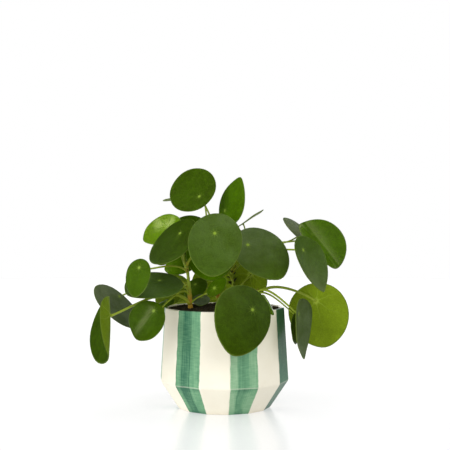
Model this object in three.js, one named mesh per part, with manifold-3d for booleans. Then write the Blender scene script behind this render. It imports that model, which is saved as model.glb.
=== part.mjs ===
// A potted pilea: a faceted, striped ceramic pot filled with soil, leafy stems and their round blades.
// Millimetres, +Z up. The origin is the centre of the pot's base, and the plant's front faces -Y.
import * as THREE from "three";
import { mergeVertices } from "three/addons/utils/BufferGeometryUtils.js";
import Module from "manifold-3d";

const wasm = await Module();
wasm.setup();

const gap = 0.3; // clearance between neighbouring pieces
const overcut = 5; // how far the cut for the hollow runs past the rim

const pot = {
  sides: 14,
  turn: 5, // degrees from the front to the nearest corner, towards +X
  height: 115,
  wall: 4,
  floor: 7,
  baseRadius: 53.5, // radii run to the corners
  bellyRadius: 75,
  bellyHeight: 32,
  rimRadius: 70,
};

const soil = {
  edge: 113.5, // height at the pot's wall
  crown: 117, // height in the middle
  rings: [1, 0.75, 0.45], // share of the way out from the middle
};

const blade = {
  thickness: 0.9,
  sectors: 20,
  rings: [0.36, 0.7, 1],
  pointPower: 12, // the higher, the narrower a drawn-out tip
};

const petiole = {
  rootRadius: 1.4,
  endRadius: 0.95,
  sides: 6,
  steps: 8,
  nodes: [0.36, 0.985], // where a stem's first and last nodes are along it
  fullLength: 55, // blades shorter than this have a slimmer petiole
  slopeRoom: 1.3, // extra room where the underside slopes at the hub
};

const stem = { sides: 8, steps: 8, depth: 27 }; // `depth` runs below the soil's edge

// Each stem is rooted at `root` (x, y) and rises through the points of `rise`; `radius` is at root and top.
const stems = {
  stem_left: { root: [-38, -25], rise: [[-39, -25, 133], [-42, -25, 166]], radius: [3.6, 1.4] },
  stem_centre: { root: [12, 6], rise: [[11, 6, 138], [8, 8, 175]], radius: [3.7, 1.6] },
  stem_right: { root: [30, -28], rise: [[32, -29, 123], [36, -30, 135]], radius: [3.0, 1.8] },
  stem_back: { root: [22, 38], rise: [[24, 42, 133], [26, 48, 158]], radius: [3.3, 1.6] },
  stem_back_left: { root: [-6, 34], rise: [[-8, 37, 133], [-12, 42, 160]], radius: [3.3, 1.6] },
};

// One row per blade, with its petiole. `hub` is where they meet, `share` of the blade's length from its
// round end and `aside` of its width off the midrib. `face` is the azimuth (0 = front, 90 = right) and the
// elevation that the upper face looks to, and `turn` swings the tip from straight downhill, anticlockwise
// as seen from above the face. `size` is length and width. `cup` drops the rim below the middle (negative:
// a dish) and `fold` both sides below the midrib. `point` draws the tip out and `egg` narrows that end.
// The petiole leaves `stem` at `node` (0 = soil, 1 = top), rising at `climb` degrees, and comes to the
// blade from the direction `arrive`. `bow` is how far it holds both directions, and `thick` its thickness.
const leaves = {
  // the crown
  leaf_top: { stem: "stem_centre", node: 1, hub: [-29, 10, 243.5], face: [-30, 31], turn: -127,
    size: [66, 59], share: 0.27, cup: -1, point: 0, egg: 0 },
  leaf_top_flat: { stem: "stem_back_left", node: 1, hub: [-26, 80, 250], face: [-102, 80], size: [68, 50],
    share: 0.23, cup: 0.5 },
  leaf_top_right: { stem: "stem_centre", node: 0.9, hub: [1, 15, 227.1], face: [-56, 11], turn: 165,
    size: [59, 52], share: 0.3, aside: 0.16, point: 0.14, egg: 0.07 },
  leaf_middle: { stem: "stem_left", node: 1, hub: [-10, -66, 201], face: [-1, 24], turn: -5, size: [75, 59],
    aside: -0.02, cup: 1.9, egg: 0.09 },
  leaf_left: { stem: "stem_left", node: 0.9, hub: [-49.8, -30, 200.7], face: [-45, 39], turn: -36,
    size: [68, 64], share: 0.33, aside: -0.05 },
  leaf_left_back: { stem: "stem_left", node: 0.8, hub: [-64, 8, 208], face: [-32, 45], turn: -39,
    size: [50, 53], share: 0.33, cup: -3, point: 0.07, egg: 0.09 },
  leaf_behind: { stem: "stem_back_left", node: 0.9, hub: [-42.4, 18, 207.2], face: [-10, 35],
    size: [57, 53] },
  leaf_right: { stem: "stem_centre", node: 0.7, hub: [27.2, -24, 187.6], face: [8, 39], turn: 27,
    size: [79, 61], share: 0.3, aside: -0.13, point: 0.06, egg: 0.07 },
  leaf_bud: { stem: "stem_centre", node: 0.92, hub: [22, 20, 212], face: [-95, 56], turn: 180, size: [42, 30],
    share: 0.3, cup: 0 },
  leaf_low_middle: { stem: "stem_centre", node: 0.5, hub: [-15, -8, 187], face: [0, 20], size: [64, 58] },

  // far right, and lower right
  leaf_far_right: { stem: "stem_centre", node: 0.8, hub: [108.1, 60, 199.2], face: [26, 32], turn: 24,
    size: [71.8, 58], share: 0.265, aside: 0.03, cup: 1, fold: -16.8, point: 0, egg: 0 },
  leaf_far_right_edge: { stem: "stem_centre", node: 0.75, hub: [98.8, 100, 200.9], face: [64, 46], turn: 20,
    size: [80, 56], share: 0.38 },
  leaf_far_right_low: { stem: "stem_centre", node: 0.65, hub: [88.3, -44, 182.1], face: [50, 27], turn: -9,
    size: [70, 53], share: 0.27, aside: -0.11, cup: -5.4, point: 0.11, egg: 0.2, bow: [0.4, 0.5],
    arrive: [-165, 0] },
  leaf_under: { stem: "stem_right", node: 0.6, hub: [106, -10, 122.6], face: [158, 1], turn: -12,
    size: [75, 72], share: 0.29, cup: 1.1, point: 0.04, climb: 66, bow: [0.45, 0.32],
    arrive: [-65, 30], thick: 1.3 },
  leaf_hanging_right: { stem: "stem_right", node: 0.9, hub: [82.9, -50, 111.6], face: [68, 2], turn: 3,
    size: [68, 56], share: 0.28, aside: -0.08, cup: -2.2, fold: -3, point: 0.16, egg: 0.36,
    arrive: [-95, 35] },
  leaf_hanging_small: { stem: "stem_right", node: 0.8, hub: [81, -38, 109.2], face: [71, 1], size: [35, 38],
    share: 0.07, aside: 0.05, cup: 1, arrive: [-95, 35] },

  // in front of the pot
  leaf_front: { stem: "stem_right", node: 0.7, hub: [30.6, -86, 119.5], face: [22, 17], turn: -23,
    size: [79, 64], share: 0.32, aside: 0.11, cup: 5, egg: 0.16 },
  leaf_front_small: { stem: "stem_right", node: 0.45, hub: [47, -60, 127], face: [70, 30], size: [26, 22] },

  // far left
  leaf_left_grey: { stem: "stem_left", node: 0.5, hub: [-123, 15, 126], face: [62, 44], turn: -74,
    size: [61, 69], share: 0.13, aside: -0.12, cup: -2.5, bow: [0.3, 0.4], arrive: [-175, -5] },
  leaf_young: { stem: "stem_left", node: 0.85, hub: [-92.3, -68, 163.6], face: [-30, 20], turn: 8,
    size: [44, 32], share: 0.25, aside: 0.03, cup: 0.3, egg: 0.09, climb: 35 },
  leaf_left_low: { stem: "stem_left", node: 0.4, hub: [-72.3, -35, 147.8], face: [-5, 67], turn: -44,
    size: [67, 70], aside: -0.05, cup: 0.4, point: 0.13, egg: 0 },
  leaf_far_left: { stem: "stem_left", node: 0.1, hub: [-125, -62, 110.7], face: [-80, 3], turn: 37,
    size: [81, 51], share: 0.33, aside: 0.12, cup: -2, fold: -14, thick: 1.3, bow: [0.4, 0.2],
    arrive: [105, 14] },
  leaf_left_cupped: { stem: "stem_left", node: 0.3, hub: [-76.7, -65, 116.3], face: [-24, 17], turn: -27,
    size: [46, 45], share: 0.23, cup: 0.4, fold: -4, point: 0.09, egg: 0.03 },

  // small ones low down, between the stems
  leaf_small_middle: { stem: "stem_left", node: 0.1, hub: [-10.7, -45, 140], face: [-25, 25], turn: 140,
    size: [27, 18], share: 0.4 },
  leaf_shaded_left: { stem: "stem_back_left", node: 0.6, hub: [-43, 2, 170], face: [-30, 45], turn: -60,
    size: [44, 40] },
  leaf_ribbed: { stem: "stem_centre", node: 0.2, hub: [31, 6, 152], face: [165, 20], size: [42, 40] },
  leaf_behind_low: { stem: "stem_back_left", node: 0.3, hub: [-34, 20, 140], face: [-30, 45], turn: 20,
    size: [34, 30] },
  leaf_rim_left: { stem: "stem_left", node: 0.05, hub: [-66, 0, 122], face: [-40, 68], size: [24, 20] },
  leaf_small_grey: { stem: "stem_centre", node: 0.05, hub: [-26, -8, 127], face: [0, 62], size: [24, 20],
    climb: 40 },

  // the back
  leaf_back_1: { stem: "stem_back_left", node: 0.9, hub: [-66, 54, 192], face: [-140, 30], size: [54, 48] },
  leaf_back_2: { stem: "stem_back_left", node: 0.8, hub: [-22, 86, 186], face: [-165, 25], size: [60, 54] },
  leaf_back_3: { stem: "stem_back", node: 1, hub: [3, 90, 194], face: [175, 32], size: [62, 54] },
  leaf_back_4: { stem: "stem_back", node: 0.8, hub: [48, 86, 172], face: [150, 35], size: [56, 50] },
  leaf_back_5: { stem: "stem_back_left", node: 0.5, hub: [-64, 84, 132], face: [-150, 20], size: [54, 48] },
  leaf_back_6: { stem: "stem_back_left", node: 0.3, hub: [-14, 112, 142], face: [-175, 15], size: [62, 56] },
  leaf_back_7: { stem: "stem_back", node: 0.5, hub: [22, 92, 150], face: [165, 20], size: [54, 50] },
  leaf_back_8: { stem: "stem_back", node: 0.7, hub: [56, 46, 174], face: [100, 30], size: [38, 34] },
  leaf_back_9: { stem: "stem_back_left", node: 0.1, hub: [-38, 94, 108], face: [-160, 10], size: [58, 52],
    arrive: [20, 30] },
  leaf_back_10: { stem: "stem_back", node: 0.2, hub: [26, 98, 102], face: [170, 8], size: [56, 52],
    arrive: [-10, 30] },
};

const seen = {
  cream: new THREE.MeshStandardMaterial({ color: "#efe8d8", roughness: 0.25, metalness: 0 }),
  soil: new THREE.MeshStandardMaterial({ color: "#2a1c14", roughness: 1, metalness: 0 }),
  stem: new THREE.MeshStandardMaterial({ color: "#8d9a3c", roughness: 0.5, metalness: 0 }),
  leaf: new THREE.MeshStandardMaterial({
    color: "#4f7a1c", roughness: 0.4, metalness: 0, side: THREE.DoubleSide,
  }),
};

const radians = THREE.MathUtils.degToRad;

// The direction with this azimuth (0 = front, 90 = right) and elevation, both in degrees.
function heading(azimuth, elevation) {
  const a = radians(azimuth);
  const e = radians(elevation);
  return new THREE.Vector3(Math.sin(a) * Math.cos(e), -Math.cos(a) * Math.cos(e), Math.sin(e));
}

// Closed triangle mesh from a list of points and a list of faces; each face has three or four corners.
function solid(points, faces) {
  const index = faces.flatMap(([a, b, c, d]) => (d === undefined ? [a, b, c] : [a, b, c, a, c, d]));
  const geometry = new THREE.BufferGeometry();
  const places = points.flatMap((p) => p.toArray());
  geometry.setAttribute("position", new THREE.Float32BufferAttribute(places, 3));
  return geometry.setIndex(index);
}

function toManifold(geometry) {
  const bare = geometry.clone();
  bare.deleteAttribute("normal");
  bare.deleteAttribute("uv");
  const merged = mergeVertices(bare, 1e-4);
  return new wasm.Manifold(
    new wasm.Mesh({
      numProp: 3,
      vertProperties: new Float32Array(merged.attributes.position.array),
      triVerts: new Uint32Array(merged.index.array),
    }),
  );
}

function toGeometry(manifold) {
  const { vertProperties, triVerts } = manifold.getMesh();
  const geometry = new THREE.BufferGeometry();
  geometry.setAttribute("position", new THREE.Float32BufferAttribute(vertProperties, 3));
  return geometry.setIndex(new THREE.Uint32BufferAttribute(triVerts, 1));
}

function named(name, geometry, material) {
  geometry.computeVertexNormals();
  const mesh = new THREE.Mesh(geometry, material.clone());
  mesh.name = name;
  return mesh;
}

// A stack of closed rings of the same count, joined side to side and capped at both ends.
function stack(rings) {
  const count = rings[0].length;
  const points = rings.flat();
  const faces = [];
  for (let r = 0; r + 1 < rings.length; r++) {
    for (let s = 0; s < count; s++) {
      const next = (s + 1) % count;
      const [a, b] = [r * count, (r + 1) * count];
      faces.push([a + s, a + next, b + next, b + s]);
    }
  }
  const top = (rings.length - 1) * count;
  for (let s = 1; s + 1 < count; s++) {
    faces.push([0, s + 1, s], [top, top + s, top + s + 1]);
  }
  return solid(points, faces);
}

// A ring of the pot's corners.
function potRing(radius, height) {
  const step = 360 / pot.sides;
  return Array.from({ length: pot.sides }, (_, k) =>
    heading(pot.turn + k * step, 0).multiplyScalar(radius).setZ(height));
}

// Radius to the corners of the pot's inner face at a height above its floor.
function innerRadius(height) {
  const inset = pot.wall / Math.cos(Math.PI / pot.sides);
  const [low, high] = height < pot.bellyHeight
    ? [[pot.baseRadius, 0], [pot.bellyRadius, pot.bellyHeight]]
    : [[pot.bellyRadius, pot.bellyHeight], [pot.rimRadius, pot.height]];
  return THREE.MathUtils.mapLinear(height, low[1], high[1], low[0], high[0]) - inset;
}

function makePot() {
  const outside = stack([
    potRing(pot.baseRadius, 0),
    potRing(pot.bellyRadius, pot.bellyHeight),
    potRing(pot.rimRadius, pot.height),
  ]);
  const inside = stack([
    potRing(innerRadius(pot.floor), pot.floor),
    potRing(innerRadius(pot.bellyHeight), pot.bellyHeight),
    potRing(innerRadius(pot.height), pot.height),
    potRing(innerRadius(pot.height), pot.height + overcut),
  ]);
  return named("pot", toGeometry(toManifold(outside).subtract(toManifold(inside))), seen.cream);
}

// A tube with one radius for each of its points.
function tube(points, radii, sides) {
  let side = new THREE.Vector3(0, 1, 0);
  const rings = points.map((point, i) => {
    const [before, after] = [points[Math.max(i - 1, 0)], points[Math.min(i + 1, points.length - 1)]];
    const along = after.clone().sub(before).normalize();
    side = side.clone().addScaledVector(along, -side.dot(along)).normalize();
    const across = along.clone().cross(side);
    return Array.from({ length: sides }, (_, s) => {
      const a = (2 * Math.PI * s) / sides;
      return point.clone()
        .addScaledVector(side, radii[i] * Math.cos(a))
        .addScaledVector(across, radii[i] * Math.sin(a));
    });
  });
  return stack(rings);
}

function stemCurve({ root: [x, y], rise }) {
  const start = [[x, y, soil.edge - stem.depth], [x, y, soil.edge]];
  return new THREE.CatmullRomCurve3([...start, ...rise].map((p) => new THREE.Vector3(...p)));
}

function stemTube(row, extra) {
  const points = stemCurve(row).getSpacedPoints(stem.steps);
  const radii = points.map((_, i) => THREE.MathUtils.lerp(...row.radius, i / stem.steps) + extra);
  return tube(points, radii, stem.sides);
}

function makeSoil() {
  const mound = soil.rings.map((share) => {
    const height = THREE.MathUtils.lerp(soil.crown, soil.edge, share * share);
    return potRing(share * innerRadius(soil.edge) - gap, height);
  });
  const filling = stack([
    potRing(innerRadius(pot.floor) - gap, pot.floor + gap),
    potRing(innerRadius(pot.bellyHeight) - gap, pot.bellyHeight),
    ...mound,
  ]);
  const holes = Object.values(stems).map((row) => toManifold(stemTube(row, gap)));
  const pierced = holes.reduce((rest, hole) => rest.subtract(hole), toManifold(filling));
  return named("soil", toGeometry(pierced), seen.soil);
}

// The blade's own frame: origin at the hub, Z out of the upper face, X towards the tip.
function bladeFrame({ hub, face: [azimuth, elevation], turn = 0 }) {
  const up = heading(azimuth, elevation);
  const downhill = new THREE.Vector3(0, 0, -1);
  downhill.addScaledVector(up, -downhill.dot(up)).normalize();
  const tip = downhill.applyAxisAngle(up, radians(turn));
  const across = up.clone().cross(tip);
  return new THREE.Matrix4().makeBasis(tip, across, up).setPosition(...hub);
}

// Height of the blade's upper face over its own frame, zero at the hub.
function bladeHeight({ size: [length, width], share = 0.34, aside = 0, cup = 1.5, fold = 0 }) {
  const form = (x, y) => {
    const along = (x - length * (0.5 - share)) / (length / 2);
    const across = (y + width * aside) / (width / 2);
    return -cup * (along * along + across * across) - fold * Math.abs(y / (width / 2));
  };
  return (x, y) => form(x, y) - form(0, 0);
}

// The rim of the blade as seen from above: an egg with its narrow end and its point at the tip.
function bladeRim({ size: [length, width], share = 0.34, aside = 0, point = 0.03, egg = 0.05 }) {
  return Array.from({ length: blade.sectors }, (_, s) => {
    const a = (2 * Math.PI * s) / blade.sectors;
    const reach = 0.5 * (1 + point * (Math.max(0, Math.cos(a)) ** blade.pointPower - 0.5));
    return [
      length * (0.5 - share + reach * Math.cos(a)),
      width * (0.5 * Math.sin(a) * (1 - egg * Math.cos(a)) - aside),
    ];
  });
}

function makeBlade(name, row) {
  const height = bladeHeight(row);
  const rim = bladeRim(row);
  const flat = [[0, 0], ...blade.rings.flatMap((r) => rim.map(([x, y]) => [r * x, r * y]))];
  const upper = flat.map(([x, y]) => new THREE.Vector3(x, y, height(x, y)));
  const lower = upper.map((p) => p.clone().setZ(p.z - blade.thickness));
  const n = blade.sectors;
  const half = [];
  for (let s = 0; s < n; s++) {
    const next = (s + 1) % n;
    half.push([0, 1 + s, 1 + next]);
    for (let r = 0; r + 1 < blade.rings.length; r++) {
      const [a, b] = [1 + r * n, 1 + (r + 1) * n];
      half.push([a + s, b + s, b + next], [a + s, b + next, a + next]);
    }
  }
  const under = half.map(([a, b, c]) => [a, c, b].map((i) => i + upper.length));
  const outer = 1 + (blade.rings.length - 1) * n;
  const wall = rim.map((_, s) => {
    const next = (s + 1) % n;
    return [outer + s, upper.length + outer + s, upper.length + outer + next, outer + next];
  });
  const geometry = solid([...upper, ...lower], [...half, ...under, ...wall]);
  return named(name, geometry.applyMatrix4(bladeFrame(row)), seen.leaf);
}

// The petiole's end is square to the blade's underside, unless its row says otherwise, and stays clear of it.
function petioleTube(row) {
  const { hub, face, node, climb = 55, bow = [0.4, 0.3], thick = 1, arrive } = row;
  const { steps, rootRadius, endRadius, sides, fullLength, slopeRoom } = petiole;
  const slim = thick * Math.sqrt(Math.min(1, row.size[0] / fullLength));
  const start = stemCurve(stems[row.stem]).getPointAt(THREE.MathUtils.lerp(...petiole.nodes, node));
  const up = heading(...face);
  const from = arrive ? heading(...arrive) : up.clone().negate();

  // The route ends `sink` further below the blade than the gap.
  const route = (sink) => {
    const end = new THREE.Vector3(...hub).addScaledVector(up, -blade.thickness - gap - sink);
    const reach = end.distanceTo(start);
    const level = end.clone().sub(start).setZ(0).normalize();
    const rising = level.multiplyScalar(Math.cos(radians(climb))).setZ(Math.sin(radians(climb)));
    const leave = start.clone().addScaledVector(rising, bow[0] * reach);
    const enter = end.clone().addScaledVector(from, bow[1] * reach);
    return new THREE.CubicBezierCurve3(start, leave, enter, end).getSpacedPoints(steps);
  };
  const height = bladeHeight(row);
  const slope = Math.hypot(height(1, 0) - height(-1, 0), height(0, 1) - height(0, -1)) / 2;
  const [before, last] = route(0).slice(-2);
  const tilt = last.clone().sub(before).normalize().cross(up).length();
  const points = route(endRadius * slim * (tilt + slopeRoom * slope));
  const radii = points.map((_, i) => slim * THREE.MathUtils.lerp(rootRadius, endRadius, i / steps));
  return tube(points, radii, sides);
}

function makeStem(name) {
  const own = Object.values(leaves).filter((row) => row.stem === name);
  const all = own.map((row) => toManifold(petioleTube(row)));
  const fused = all.reduce((body, piece) => body.add(piece), toManifold(stemTube(stems[name], 0)));
  return named(name, toGeometry(fused), seen.stem);
}

const group = new THREE.Group();
group.name = "potted_pilea";
group.add(makePot(), makeSoil());
group.add(...Object.keys(stems).map(makeStem));
group.add(...Object.entries(leaves).map(([name, row]) => makeBlade(name, row)));

export default group;
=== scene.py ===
import math
import random

import bmesh
import bpy
from mathutils import Matrix, Vector, noise


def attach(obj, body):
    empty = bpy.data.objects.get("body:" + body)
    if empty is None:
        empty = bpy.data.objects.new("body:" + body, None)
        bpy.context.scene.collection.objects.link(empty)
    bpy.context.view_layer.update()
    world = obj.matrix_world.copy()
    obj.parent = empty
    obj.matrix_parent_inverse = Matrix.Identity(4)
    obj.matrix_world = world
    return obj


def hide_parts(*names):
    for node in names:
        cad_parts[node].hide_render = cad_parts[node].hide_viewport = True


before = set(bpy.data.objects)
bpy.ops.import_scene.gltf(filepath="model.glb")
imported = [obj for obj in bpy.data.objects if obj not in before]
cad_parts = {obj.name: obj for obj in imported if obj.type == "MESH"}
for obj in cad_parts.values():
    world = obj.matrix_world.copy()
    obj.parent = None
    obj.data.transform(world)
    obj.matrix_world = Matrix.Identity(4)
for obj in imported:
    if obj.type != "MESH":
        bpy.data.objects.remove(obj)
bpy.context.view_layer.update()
print("frame loaded:", len(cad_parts), "nodes")

# Lengths in the dictionaries are millimetres, angles are degrees, and the plant's front faces -Y.
mm = 0.001
mapSpan = 100  # millimetres to one unit of a map


def heading(azimuth, elevation):
    # direction with this azimuth (0 = front, 90 = right) and elevation
    a, e = math.radians(azimuth), math.radians(elevation)
    return Vector((math.sin(a) * math.cos(e), -math.cos(a) * math.cos(e), math.sin(e)))


def mixed(a, b, share):
    return a + (b - a) * share


def smooth(low, high, value):
    t = min(1.0, max(0.0, (value - low) / (high - low)))
    return t * t * (3 - 2 * t)


def addObject(name, data):
    made = bpy.data.objects.new(name, data)
    bpy.context.scene.collection.objects.link(made)
    return made


def finishPiece(name, bm, materials, nodes):
    # turns a bmesh in millimetres into a piece that rides on the frame and replaces its CAD nodes
    bmesh.ops.scale(bm, vec=(mm, mm, mm), verts=bm.verts)
    for face in bm.faces:
        face.smooth = True
    mesh = bpy.data.meshes.new(name)
    bm.to_mesh(mesh)
    bm.free()
    for material in materials:
        mesh.materials.append(material)
    piece = addObject(name, mesh)
    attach(piece, "root")
    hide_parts(*nodes)
    return piece


def spinProfile(profile, steps):
    # a closed form: a cross-section of (radius, height) points, spun round the Z axis
    bm = bmesh.new()
    points = [bm.verts.new((x, 0, z)) for x, z in profile]
    edges = [bm.edges.new(pair) for pair in zip(points, points[1:])]
    bmesh.ops.spin(bm, geom=points + edges, cent=(0, 0, 0), axis=(0, 0, 1), angle=2 * math.pi,
                   steps=steps, use_merge=True)
    bmesh.ops.remove_doubles(bm, verts=bm.verts, dist=1e-4)
    bmesh.ops.recalc_face_normals(bm, faces=bm.faces)
    return bm


def addNode(tree, kind, inputs=None, **settings):
    made = tree.nodes.new(kind)
    for key, value in settings.items():
        setattr(made, key, value)
    for key, value in (inputs or {}).items():
        if isinstance(value, bpy.types.NodeSocket):
            tree.links.new(value, made.inputs[key])
        else:
            made.inputs[key].default_value = value
    return made


def calc(tree, operation, *values, clamp=False):
    made = addNode(tree, "ShaderNodeMath", dict(enumerate(values)), operation=operation, use_clamp=clamp)
    return made.outputs[0]


def plus(tree, a, b, clamp=False):
    return calc(tree, "ADD", a, b, clamp=clamp)


def times(tree, a, b, clamp=False):
    return calc(tree, "MULTIPLY", a, b, clamp=clamp)


def ramp(tree, value, low, high, fromMin=0.0, fromMax=1.0):
    # smooth step of a value between two limits
    made = addNode(tree, "ShaderNodeMapRange", {"Value": value, "From Min": fromMin, "From Max": fromMax,
                                                "To Min": low, "To Max": high},
                   interpolation_type="SMOOTHSTEP")
    return made.outputs["Result"]


def mixColour(tree, factor, a, b, blend="MIX"):
    a, b = [value if isinstance(value, bpy.types.NodeSocket) else (*value, 1) for value in (a, b)]
    made = addNode(tree, "ShaderNodeMix", {0: factor, 6: a, 7: b}, data_type="RGBA", blend_type=blend)
    return made.outputs[2]


def mixNumber(tree, factor, a, b):
    return addNode(tree, "ShaderNodeMix", {"Factor": factor, "A": a, "B": b}).outputs["Result"]


def attribute(tree, name, output="Fac"):
    return addNode(tree, "ShaderNodeAttribute", attribute_name=name).outputs[output]


def newGroup(name, inputs, outputs):
    group = bpy.data.node_groups.new(name, "ShaderNodeTree")
    for label, value in inputs.items():
        socket = group.interface.new_socket(label, in_out="INPUT", socket_type="NodeSocketFloat")
        socket.default_value = value
    for label in outputs:
        group.interface.new_socket(label, in_out="OUTPUT", socket_type="NodeSocketFloat")
    return group, group.nodes.new("NodeGroupInput"), group.nodes.new("NodeGroupOutput")


def useGroup(tree, group, **values):
    return addNode(tree, "ShaderNodeGroup", values, node_tree=group)


def newMaterial(name, **values):
    material = bpy.data.materials.new(name)
    material.use_nodes = True
    tree = material.node_tree
    shader = tree.nodes["Principled BSDF"]
    for key, value in values.items():
        shader.inputs[key.replace("_", " ")].default_value = value
    return material, tree, shader


def bump(tree, shader, height, strength, depth):
    made = addNode(tree, "ShaderNodeBump", {"Height": height, "Strength": strength, "Distance": depth * mm})
    tree.links.new(made.outputs["Normal"], shader.inputs["Normal"])


camera = dict(place=(1.16, -1085, 210), lens=74.8, sensor=36)
studio = dict(
    floorColour=(0.36, 0.36, 0.36, 1), floorRoughness=0.26, floorGlow=0.47, floorReach=2600,
    backdrop=1.0,  # what the camera sees behind the plant
    fill=0.82,  # even light on everything
    # what gloss mirrors: the wall behind the plant, down by the floor, else the dark of the room ...
    wall=1.4, wallTop=(0.16, 0.34), wallSides=(0.86, 0.96), room=0.02,
    # ... and soft panels: azimuth, elevation, half-width in degrees, brightness
    panelColour=(1.0, 1.0, 0.55), panelEdge=(1.25, 0.75),
    panels=[
        (8, 58, 23, 1.08),
        (130, 38, 15, 0.60),
        (146, 20, 7, 0.80),
        (105, 26, 20, 0.22),
        (-101, 60, 4, 4.5),
        (-108, 50, 3, 7.0),
        (-47, 21, 5, 3.0),
        (40, 44, 9, 1.3),
    ],
    lightsAim=(0, 0, 140),
    # softboxes that gloss doesn't show: place, width, watts and whether they cast shadows
    lights=[
        ((-1250, -850, 650), 1100, 12.5, True),
        ((850, -1200, 850), 900, 9.5, True),
        ((100, 300, 1500), 900, 5, True),
        ((-750, -1150, 200), 500, 1.6, True),
        ((-1100, -250, -300), 900, 7, False),
    ],
)


def buildCamera():
    lens = bpy.data.cameras.new("photoCamera")
    lens.lens, lens.sensor_width = camera["lens"], camera["sensor"]
    eye = addObject("photoCamera", lens)
    eye.location = Vector(camera["place"]) * mm
    eye.rotation_euler = (math.radians(90), 0, 0)  # level, towards +Y
    bpy.context.scene.camera = eye


def buildLights():
    for i, (place, width, watts, shadows) in enumerate(studio["lights"]):
        lamp = bpy.data.lights.new(f"softbox{i}", "AREA")
        lamp.shape, lamp.size, lamp.energy, lamp.use_shadow = "SQUARE", width * mm, watts, shadows
        softbox = addObject(f"softbox{i}", lamp)
        softbox.location = Vector(place) * mm
        aim = Vector(studio["lightsAim"]) - Vector(place)
        softbox.rotation_euler = aim.to_track_quat("-Z", "Y").to_euler()
        softbox.visible_glossy = False


def buildFloor():
    bm = bmesh.new()
    bmesh.ops.create_circle(bm, cap_ends=True, segments=64, radius=studio["floorReach"] * mm)
    mesh = bpy.data.meshes.new("floor")
    bm.to_mesh(mesh)
    bm.free()
    white, _, _ = newMaterial(
        "floorWhite", Base_Color=studio["floorColour"], Roughness=studio["floorRoughness"],
        Emission_Color=(1, 1, 1, 1), Emission_Strength=studio["floorGlow"])
    mesh.materials.append(white)
    floor = addObject("floor", mesh)


def buildWorld():
    # white for the camera, even for diffuse light, and shaped like a studio for gloss
    world = bpy.data.worlds.new("studio")
    world.use_nodes = True
    tree = world.node_tree
    way = addNode(tree, "ShaderNodeTexCoord").outputs["Generated"]
    parts = addNode(tree, "ShaderNodeSeparateXYZ", {"Vector": way})
    low = ramp(tree, calc(tree, "ABSOLUTE", parts.outputs["Z"]), studio["wall"], studio["room"],
               *studio["wallTop"])
    behind = ramp(tree, parts.outputs["Y"], 0.0, 1.0, *studio["wallSides"])
    wall = mixNumber(tree, behind, studio["room"], low)
    panels = 0.0
    for azimuth, elevation, halfWidth, bright in studio["panels"]:
        towards = addNode(tree, "ShaderNodeVectorMath", {0: way, 1: heading(azimuth, elevation)},
                          operation="DOT_PRODUCT").outputs["Value"]
        edge = [math.cos(math.radians(halfWidth * share)) for share in studio["panelEdge"]]
        panels = calc(tree, "MAXIMUM", panels, ramp(tree, towards, 0.0, bright, *edge))
    path = addNode(tree, "ShaderNodeLightPath")
    glossy = path.outputs["Is Glossy Ray"]
    lit = mixNumber(tree, glossy, studio["fill"], calc(tree, "MAXIMUM", wall, panels))
    lit = mixNumber(tree, path.outputs["Is Camera Ray"], lit, studio["backdrop"])
    warm = times(tree, glossy, calc(tree, "GREATER_THAN", panels, wall))
    background = tree.nodes["Background"]
    tree.links.new(lit, background.inputs["Strength"])
    tree.links.new(mixColour(tree, warm, (1, 1, 1), studio["panelColour"]), background.inputs["Color"])
    bpy.context.scene.world = world
    bpy.context.scene.view_settings.view_transform = "Standard"


buildCamera()
buildLights()
buildFloor()
buildWorld()
print("studio done")


def makeMottle():
    # soft blotches of one size, for leaves, stems, soil and glaze alike
    group, inside, outside = newGroup("mottle", {"Size": 5.0, "Amount": 0.5, "Detail": 2.0}, ["Factor"])
    place = addNode(group, "ShaderNodeTexCoord").outputs["Object"]
    scale = calc(group, "DIVIDE", 1 / mm, inside.outputs["Size"])
    cloud = addNode(group, "ShaderNodeTexNoise", {"Vector": place, "Scale": scale,
                                                  "Detail": inside.outputs["Detail"]})
    centred = calc(group, "SUBTRACT", cloud.outputs["Fac"], 0.5)
    group.links.new(times(group, centred, inside.outputs["Amount"]), outside.inputs["Factor"])
    return group


# How the veins run from the hub: pairs are where a ramp starts and ends, in millimetres from the hub, and
# `rim`, the band of the highlight painted along the rim, is in shares of the way out.
veinLook = dict(
    stray=0.5, strayScale=9.0, sideVeins=3, sideWidth=0.7, sideFrom=(8.0, 20.0), sideStrength=0.35,
    fade=(2.0, 34.0), faded=0.35, rays=(1.5, 7.0), rayStrength=0.55, hub=(0.6, 2.8), rim=(0.965, 0.992),
)


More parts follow.
